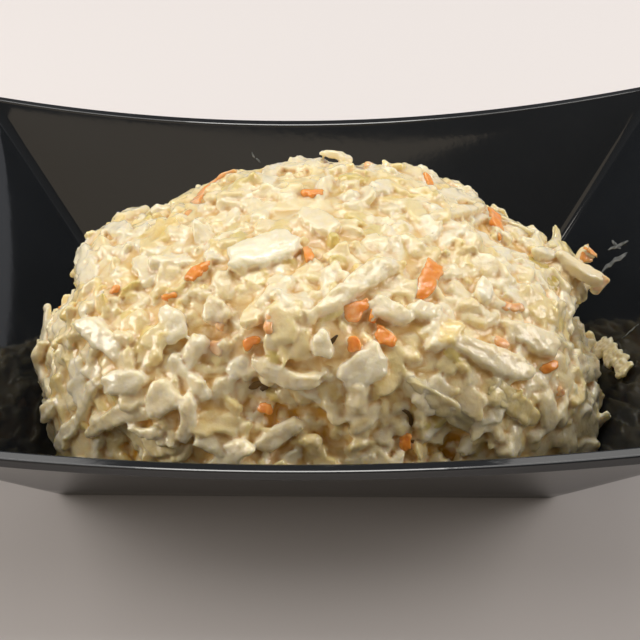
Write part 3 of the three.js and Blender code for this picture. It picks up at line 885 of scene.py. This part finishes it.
# Rib and heart in thicker cuts, threaded on lines of sight: places, width, thickness, lift
RIB_CUTS = [
    ([(250, 352), (272, 369), (300, 381), (325, 376)], 4.6, 3.6, 1.4),
    ([(303, 312), (335, 302), (366, 277), (402, 262)], 5.2, 3.8, 1.2),
    ([(88, 434), (112, 418), (140, 414), (160, 420)], 4.2, 3.0, 1.0),
    ([(128, 425), (145, 433), (161, 430)], 2.6, 1.8, 2.0),
    ([(187, 390), (189, 415), (180, 441)], 3.8, 3.0, 1.0),
    ([(80, 318), (105, 339), (128, 359)], 6.0, 3.4, 0.8),
    ([(252, 452), (275, 437), (301, 420)], 4.2, 2.8, 0.8),
    ([(368, 300), (390, 311), (413, 322)], 5.0, 3.0, 1.2),
    ([(347, 387), (365, 369), (387, 351)], 8.5, 4.2, 0.6),
    ([(438, 345), (475, 351), (505, 366), (532, 371)], 6.0, 3.4, 1.0),
    ([(500, 325), (530, 338), (557, 352)], 6.0, 3.0, 0.9),
    ([(555, 251), (575, 267), (603, 283)], 4.6, 3.0, 0.8),
    ([(548, 386), (546, 405), (552, 426)], 5.0, 3.0, 0.8),
    ([(51, 306), (46, 330), (43, 356)], 4.6, 1.8, 0.6),
    ([(36, 357), (44, 373), (52, 395)], 6.0, 3.2, 0.6),
    ([(74, 354), (79, 376), (76, 402)], 7.0, 2.0, 1.2),
    ([(74, 427), (87, 402), (98, 377)], 3.4, 2.4, 1.2),
    ([(58, 448), (68, 433), (80, 419)], 4.0, 2.6, 0.8),
    ([(50, 408), (60, 400), (68, 392)], 4.2, 2.6, 0.5),
    ([(104, 385), (125, 382), (147, 381)], 5.6, 3.6, 1.4),
    ([(146, 398), (160, 399), (177, 411)], 8.6, 3.4, 0.9),
    ([(160, 307), (172, 320), (180, 342)], 5.6, 1.8, 1.4),
    ([(79, 247), (87, 264), (92, 285)], 6.2, 3.0, 0.6),
    ([(99, 234), (111, 230), (124, 240)], 5.6, 3.0, 0.5),
    ([(120, 219), (135, 214), (151, 212)], 5.0, 3.0, 0.4),
    ([(224, 262), (262, 251), (302, 240)], 9.5, 2.6, 0.9),
    ([(266, 178), (285, 168), (306, 171)], 5.0, 2.6, 0.4),
    ([(318, 153), (334, 154), (353, 164)], 3.6, 2.0, 0.6),
    ([(424, 203), (455, 197), (487, 201)], 6.4, 2.6, 0.8),
    ([(426, 217), (455, 213), (483, 207)], 3.4, 2.2, 1.2),
    ([(566, 371), (580, 368), (598, 372)], 7.6, 4.0, 0.6),
    ([(482, 277), (484, 290), (478, 300)], 4.2, 2.8, 1.2),
    ([(130, 262), (150, 270), (158, 284)], 6.4, 2.6, 0.8),
    ([(205, 308), (215, 312), (226, 322)], 5.8, 3.2, 1.0),
    ([(190, 338), (197, 345), (205, 352)], 5.0, 3.0, 1.0),
    ([(318, 330), (322, 345), (325, 360)], 4.4, 3.0, 1.2),
    ([(410, 302), (425, 312), (440, 306)], 4.6, 3.0, 1.0),
    ([(570, 448), (585, 445), (604, 450)], 4.2, 2.6, 0.5),
    ([(300, 208), (320, 222), (338, 232)], 6.4, 2.8, 0.7),
]
CORE_DEPTH = 0.5
POOL_TOP = 42
POOL_DEPTH = -0.4
RIB_LOWER = 0.4
# Scattered pieces: how many are tried, and the range of their length, width and thickness
CHIPS = 1250
CHIP_SIZE = [(6.5, 13), (4.5, 8.5), (1.5, 2.8)]
RIBS = 80
RIB_SIZE = [(11, 20), (3.4, 5.2), (2.6, 3.6)]
HEARTS = 220
HEART_SIZE = [(7, 12), (5, 8), (3.4, 4.8)]
CRUMBS = 650
CRUMB_SIZE = [(2, 4.5), (1.6, 3.2), (1.2, 2.0)]
GREEN_SHARE = 0.1
BED_DEPTH = 0.4
BLUSH_REACH = 2.0
BLUSH_STRENGTH = 0.3
HOLLOW_ROUNDS = 14
HEAP_HEART = np.array([*HEAP_MIDDLE, 8.0])
MASS_VOXEL = 0.44
MASS_TRIANGLES = 197000


def heap_core(depth, rings, columns):
    """The dome pulled in by a depth, closed at the floor. Dressing has sunk to the foot of the front,
    where it fills the gaps between the pieces."""
    fall = np.linspace(LOWEST_FALL + 0.07, 0.02, rings)[:, None] * np.ones(columns)
    turn = np.arange(columns) / columns * 2 * math.pi * np.ones((rings, 1))
    height = dome(fall, turn)[..., 2]
    soaked = np.clip((POOL_TOP - height) / POOL_TOP * 2, 0, 1) * np.clip(-np.sin(turn) * 2, 0, 1)
    points = dome(fall, turn, depth + (POOL_DEPTH - depth) * soaked)
    points = points - unit(dome_outward(np.minimum(fall, LOWEST_FALL), turn)) * sag(points)[..., None]
    foot = [[*HEAP_MIDDLE, WALL]]
    crown = points[-1].mean(0)
    return np.vstack([foot, points.reshape(-1, 3), crown]), ring_triangles(rings + 2, columns)


rib_heroes = shown_pieces(RIB_CUTS, RIB_LOWER)
rib_marks = np.array([
    mark for piece in rib_heroes for mark in (piece[0, 0], piece[0].mean(0), piece[0, -1])
])
colour_marks = np.array([piece[0].mean(0) for piece in [*carrot_heroes, *leaf_heroes]])
core_points, core_faces = heap_core(CORE_DEPTH, rings=60, columns=120)


def free_spots(count, spacing, from_ribs, from_colour):
    """Places that stay a berth away from the threaded ribs, and another from the carrot and leaf."""
    middles, facing = apart(*spots(count, spacing), rib_marks, from_ribs)
    return apart(middles, facing, colour_marks, from_colour)


places = free_spots(CHIPS, spacing=0, from_ribs=3.5, from_colour=2.6)
chips = scattered(places, CHIP_SIZE, sunk=(0.6, 2.2), tilt=0.26, crisp=12, wave=0.12)
places = free_spots(RIBS, spacing=5, from_ribs=5, from_colour=4)
ribs = scattered(places, RIB_SIZE, sunk=(1.0, 2.2), tilt=0.16, crisp=7, wave=0.16)
places = free_spots(HEARTS, spacing=7.5, from_ribs=5, from_colour=4)
hearts = scattered(places, HEART_SIZE, sunk=(1.2, 2.6), tilt=0.28, crisp=12, wave=0.06)
places = free_spots(CRUMBS, spacing=0, from_ribs=3, from_colour=2)
crumbs = scattered(places, CRUMB_SIZE, sunk=(0.2, 1.2), tilt=0.5, crisp=12, wave=0.12)

# Each piece of carrot and green leaf that shows also has a bed in the cabbage, so it lies bound in
beds = []
for piece in [*carrot_heroes, *leaf_heroes[:GREENEST]]:
    middle = piece[0].mean(0)
    nearest = heap_marks[np.linalg.norm(heap_marks - middle, axis=1).argmin()]
    inward = unit(HEAP_HEART - nearest)
    beds.append(piece + inward * BED_DEPTH)
pale_leaf = leaf_heroes[GREENEST:]
chunk_points, chunk_faces = gathered([*rib_heroes, ribs, hearts, *pale_leaf, chips, crumbs, *beds])
thick = len(rib_heroes) + len(ribs) + len(hearts)
chunk_tint = np.concatenate([
    dice.uniform(0, 0.35, thick), np.full(len(pale_leaf), 0.3), dice.uniform(0.1, 0.9, len(chips)),
    dice.uniform(0.2, 0.9, len(crumbs)), np.full(len(beds), 0.4),
])
chunk_green = np.zeros(len(chunk_tint))
chunk_green[thick:thick + len(pale_leaf)] = 0.4
first_chip = thick + len(pale_leaf)
chunk_green[first_chip:first_chip + len(chips)] = (
    (dice.uniform(0, 1, len(chips)) < GREEN_SHARE) * dice.uniform(0.3, 1, len(chips))
)
each = chips.shape[1]

mass_points = keep_in_dish(np.vstack([core_points, chunk_points]))
mass = mesh_object(
    "chopped_cabbage_mass", mass_points, np.vstack([core_faces, chunk_faces + len(core_points)]),
    tint=np.concatenate([np.full(len(core_points), 0.5), np.repeat(chunk_tint, each)]),
    green=np.concatenate([np.zeros(len(core_points)), np.repeat(chunk_green, each)]),
)


def hollowness(thing, rounds):
    """How far each point lies below the surface around it, in millimetres, by smoothing a copy."""
    points = mesh_points(thing)
    one, other = edge_ends(thing.data)
    count = len(points)
    neighbours = np.bincount(one, minlength=count) + np.bincount(other, minlength=count)
    neighbours = np.maximum(neighbours, 1)
    smooth = points.copy()
    for _ in range(rounds):
        for axis in range(3):
            column = smooth[:, axis]
            total = np.bincount(one, column[other], count) + np.bincount(other, column[one], count)
            smooth[:, axis] = total / neighbours
    return ((smooth - points) * point_vectors(thing, "normal")).sum(1)


fused(mass, MASS_VOXEL, 0, MASS_TRIANGLES)
wrinkle(mass, 5, 0.22)
wrinkle(mass, 2.2, 0.12)
# How deep each point lies, which sets the painted shade in the gaps
set_values(mass, "hollow", hollowness(mass, HOLLOW_ROUNDS))
surface = mesh_points(mass)
set_values(mass, "buried", buried(surface))
blush = np.zeros(len(surface))
for middle in carrot_middles:
    near = np.exp(-((surface - middle) ** 2).sum(1) / BLUSH_REACH ** 2)
    blush = np.maximum(blush, BLUSH_STRENGTH * near)
set_values(mass, "blush", blush)

# Cabbage under mayonnaise: creamy white on the ridges, glowing in the gaps, and wet; the gaps' gold is
# painted shade, deepening with the hollow and buried depths.
dressed_mass = dressed(
    "cabbage_in_mayonnaise", linear("#f8edd2"), linear("#f0d78e"), linear("#d8a22e"),
    gloss_low=0.3, gloss_high=0.5, glow=0.85,
    stains={"green": linear("#e0cd80"), "blush": linear("#f9b98a")},
)
put(mass, dressed_mass, "coleslaw")

# ---- Browned leaf edges, and a painted crack shadow ----
# A few thin slivers of leaf whose cut edges have dried dark, curled among the pieces; two of them are dark
# pieces set in a crack to paint its shadow.
BROWN_CUTS = [
    ([(399, 410), (408, 413), (411, 423), (405, 431)], 0.9, 0.7, 0.5),
    ([(410, 440), (417, 446), (413, 451)], 0.9, 0.7, 0.5),
    # Painted shadow: these two dark slivers stand in for the shade in a crack
    ([(249, 389), (258, 384), (266, 382)], 1.5, 1.0, 0.1),
    ([(262, 391), (268, 385), (275, 384)], 1.2, 0.9, 0.1),
    ([(330, 344), (334, 339), (338, 335)], 1.0, 0.8, 0.2),
    ([(97, 243), (99, 246), (101, 249)], 1.0, 0.8, 0.4),
]
slivers = shown_pieces(BROWN_CUTS, crisp=5, taper=0.6)
dark_slivers = loose_pieces("browned_edges_and_painted_crack_shade", slivers, dice.uniform(0, 1, len(slivers)))

# Dried leaf edge, and the crack's painted shadow: dark olive brown, wetted by the dressing, and darker
# still as painted shade where it lies deep.
dark_sliver_flesh = dressed(
    "browned_edge_and_painted_crack_shade", linear("#6e5018"), linear("#2c1c06"), linear("#2c1c06"),
    gloss_low=0.4, gloss_high=0.6, glow=0.1,
)
dark_sliver_flesh.node_tree.nodes["Principled BSDF"].inputs["Coat Weight"].default_value = 0.15
put(dark_slivers, dark_sliver_flesh, "coleslaw")

# ---- Shred on the end wall ----
# One limp, crinkled shred that slid off the heap and lies on the sloping end wall.
LOOSE_FROM = (-4, 18)
LOOSE_TO = (-22.5, 23)
LOOSE_WIDTH = 6
LOOSE_THICKNESS = 1.4
LOOSE_THINNEST = 1.1
LOOSE_WAVE = 0.5
LOBES = 5
LOBE_SIZE = 6.4
LOBE_SIDESTEP = 0.5
end_slope = unit(np.array([-rim_height(1, 0), 0, flare[0]]))
stand_off = CLEARANCE + LOOSE_WAVE + LOOSE_THICKNESS / 2
ends = np.array([
    [BASE_HALF[0] - wall_across + flare[0] * z / rim_height(1, 0), y, z] for y, z in (LOOSE_FROM, LOOSE_TO)
]) + end_slope * stand_off
lengthwise = unit(ends[0] - ends[1])
sideways = unit(np.cross(end_slope, lengthwise))
length = np.linalg.norm(ends[0] - ends[1])
lobes = chopped(
    LOBES, (LOBE_SIZE, LOBE_SIZE), (LOOSE_WIDTH - 1, LOOSE_WIDTH), (LOOSE_THINNEST, LOOSE_THICKNESS),
    crisp=10, ragged=0.1,
)
along = np.linspace(0.5, -0.5, LOBES) * (length - LOBE_SIZE)
across = LOBE_SIDESTEP * (-1.0) ** np.arange(LOBES)
lobes = lobes @ np.stack([lengthwise, sideways, end_slope])
lobes = lobes + (ends.mean(0) + along[:, None] * lengthwise + across[:, None] * sideways)[:, None]
end_shred = loose_pieces("limp_cabbage_shred", [lobes], np.full(LOBES, 0.3))
fused(end_shred, 0.3, 1, 20000)
wrinkle(end_shred, 2.2, 0.14)
put(end_shred, dressed_mass, "loose_cabbage_shred")

# ---- Smears of dressing on the walls ----
# Thin streaks and spots that the dressing left on the dish, so thin that the black shows through.
# Each is stops across the frame where it touches a wall, and its width.
WALL_SMEARS = [
    ([(600, 275), (613, 262), (629, 254)], 2.0),
    ([(608, 249), (618, 246), (629, 241)], 1.2),
    ([(612, 240), (616, 245), (621, 249)], 0.9),
    ([(622, 339), (631, 331), (640, 323)], 0.6),
    ([(252, 152), (253, 155), (255, 158)], 0.5),
    ([(256, 158), (258, 160), (261, 163)], 0.6),
]
SMEAR_THICKNESS = 0.3
SMEAR_GAP = 0.02
WALL_FARTHEST = 430
WALL_STEP = 0.05
# A wall is met only behind the front one, and from how far right it is the end wall
FRONT_WALL = -60
END_WALL = 60


def on_wall(across, down):
    """Where a line of sight meets the dish's inner face."""
    line = camera_place + sight(across, down) * np.arange(SIGHT_NEAREST, WALL_FARTHEST, WALL_STEP)[:, None]
    pressed_back = np.linalg.norm(keep_in_dish(line, SMEAR_GAP) - line, axis=1)
    met = np.nonzero((pressed_back > SMEAR_GAP / 2) & (line[:, 1] > FRONT_WALL))[0]
    met = met[line[met, 2] < CORNER_HEIGHT]
    return line[met[0]]


back_slope = unit(np.array([0, -rim_height(0, 1), flare[1]]))
smears = []
for places, width in WALL_SMEARS:
    stops = np.array([on_wall(*place) for place in places])
    length = np.linalg.norm(stops[0] - stops[-1])
    curves = [np.polyfit([-0.5, 0, 0.5], stops[:, axis], 2) for axis in range(3)]
    piece = chopped(1, (length, length), (width, width), (1, 1), crisp=5, wave=0.02)[0]
    share = piece[:, 0] / length
    middle = np.stack([np.polyval(curve, share) for curve in curves], -1)
    into = end_slope if stops[0, 0] > END_WALL else back_slope
    side = unit(np.cross(into, stops[-1] - stops[0]))
    wander = 1 + 0.45 * np.sin(share * 19 + len(smears)) * np.sign(piece[:, 1])
    outline = middle + side * (piece[:, 1] * wander)[:, None]
    smears.append((outline + into * (piece[:, 2:3] * SMEAR_THICKNESS))[None])
smear_points, smear_faces = gathered(smears)
smear = mesh_object("dressing_smears", keep_in_dish(smear_points, SMEAR_GAP), smear_faces)

# A film of mayonnaise on black plastic: grey, streaky and wet.
STREAK_WIDTH = 1.2
STREAK_HEIGHT = 0.1
film = new_material("thin_film_of_dressing")
place = add_node(film, "TexCoord").outputs["Object"]
streaks = add_node(
    film, "TexNoise", {"Vector": place}, Scale=1 / (STREAK_WIDTH * MM), Detail=3.0, Roughness=0.6,
)
thinness = add_node(film, "MapRange", {"Value": streaks.outputs["Fac"]}, From_Min=0.35, From_Max=0.65)
film_shade = add_node(film, "Mix", {"Factor": thinness.outputs["Result"]}, data_type="RGBA")
film_shade.inputs["A"].default_value = linear("#454a4c")
film_shade.inputs["B"].default_value = linear("#8d9090")
film_relief = add_node(
    film, "Bump", {"Height": streaks.outputs["Fac"]}, Strength=0.4, Distance=STREAK_HEIGHT * MM,
)
wet_film = add_node(
    film, "BsdfPrincipled",
    {"Base Color": film_shade.outputs["Result"], "Normal": film_relief.outputs["Normal"]},
    Roughness=0.3, IOR=1.42, Coat_Weight=0.6, Coat_Roughness=0.08,
)
add_node(film, "OutputMaterial", {"Surface": wet_film.outputs["BSDF"]})
put(smear, film, "dish")

# ---- Floor and light ----
# A pale laminate table top under a broad ceiling panel and a tube, with weak low fills in front and
# behind, and a panel at each end that the black walls mirror.
TABLE_SIDE = 900
TABLE_BACK = 1500
floor_points = np.array([
    [-TABLE_SIDE, -TABLE_SIDE, 0], [TABLE_SIDE, -TABLE_SIDE, 0],
    [TABLE_SIDE, TABLE_BACK, 0], [-TABLE_SIDE, TABLE_BACK, 0],
], float)
floor = mesh_object("table_top", floor_points, np.array([[0, 1, 2], [0, 2, 3]]))
table = new_material("pale_laminate")
laminate = add_node(table, "BsdfPrincipled", Roughness=0.55)
laminate.inputs["Base Color"].default_value = linear("#e0dcdc")
add_node(table, "OutputMaterial", {"Surface": laminate.outputs["BSDF"]})
floor.data.materials.append(table)


def area_light(name, place, aim, size, power, colour):
    """A soft lamp at a place in metres, aimed at another, with its size in metres and power in watts."""
    lamp = bpy.data.lights.new(name, "AREA")
    lamp.shape = "RECTANGLE"
    lamp.size, lamp.size_y = size
    lamp.energy = power
    lamp.color = linear(colour)[:3]
    holder = bpy.data.objects.new(name, lamp)
    holder.location = Vector(place)
    holder.rotation_euler = (Vector(aim) - Vector(place)).to_track_quat("-Z", "Y").to_euler()
    bpy.context.scene.collection.objects.link(holder)


area_light("ceiling_panel", (-0.05, 0.5, 1.0), (-0.05, 0.4, 0), (1.1, 0.8), 6.2, "#fffcf8")
area_light("ceiling_tube", (0.0, 0.42, 0.86), (0, 0, 0.03), (1.2, 0.08), 2.6, "#fffcf8")
area_light("lamp_front_left", (-0.38, -0.6, 0.62), (0, 0, 0.03), (0.7, 0.5), 0.65, "#ffeacc")
area_light("low_front_panel", (0.0, -1.4, 0.26), (0, 0, 0.04), (1.6, 0.3), 0.9, "#ffe2bc")
area_light("low_back_panel", (0.85, 0.75, 0.3), (0, 0, 0.04), (1.6, 0.7), 1.4, "#f4f6ff")
area_light("panel_left", (-0.8, -0.02, 0.42), (0, 0, 0.02), (0.4, 0.4), 3.9, "#fff7ee")
area_light("panel_right", (0.8, -0.02, 0.42), (0, 0, 0.02), (0.4, 0.4), 3.1, "#fff7ee")
world = bpy.data.worlds.new("soft_studio")
world.use_nodes = True
world.node_tree.nodes["Background"].inputs["Color"].default_value = linear("#f4f1ee")
world.node_tree.nodes["Background"].inputs["Strength"].default_value = 0.14
bpy.context.scene.world = world
bpy.context.scene.view_settings.view_transform = "Standard"

bpy.context.view_layer.update()
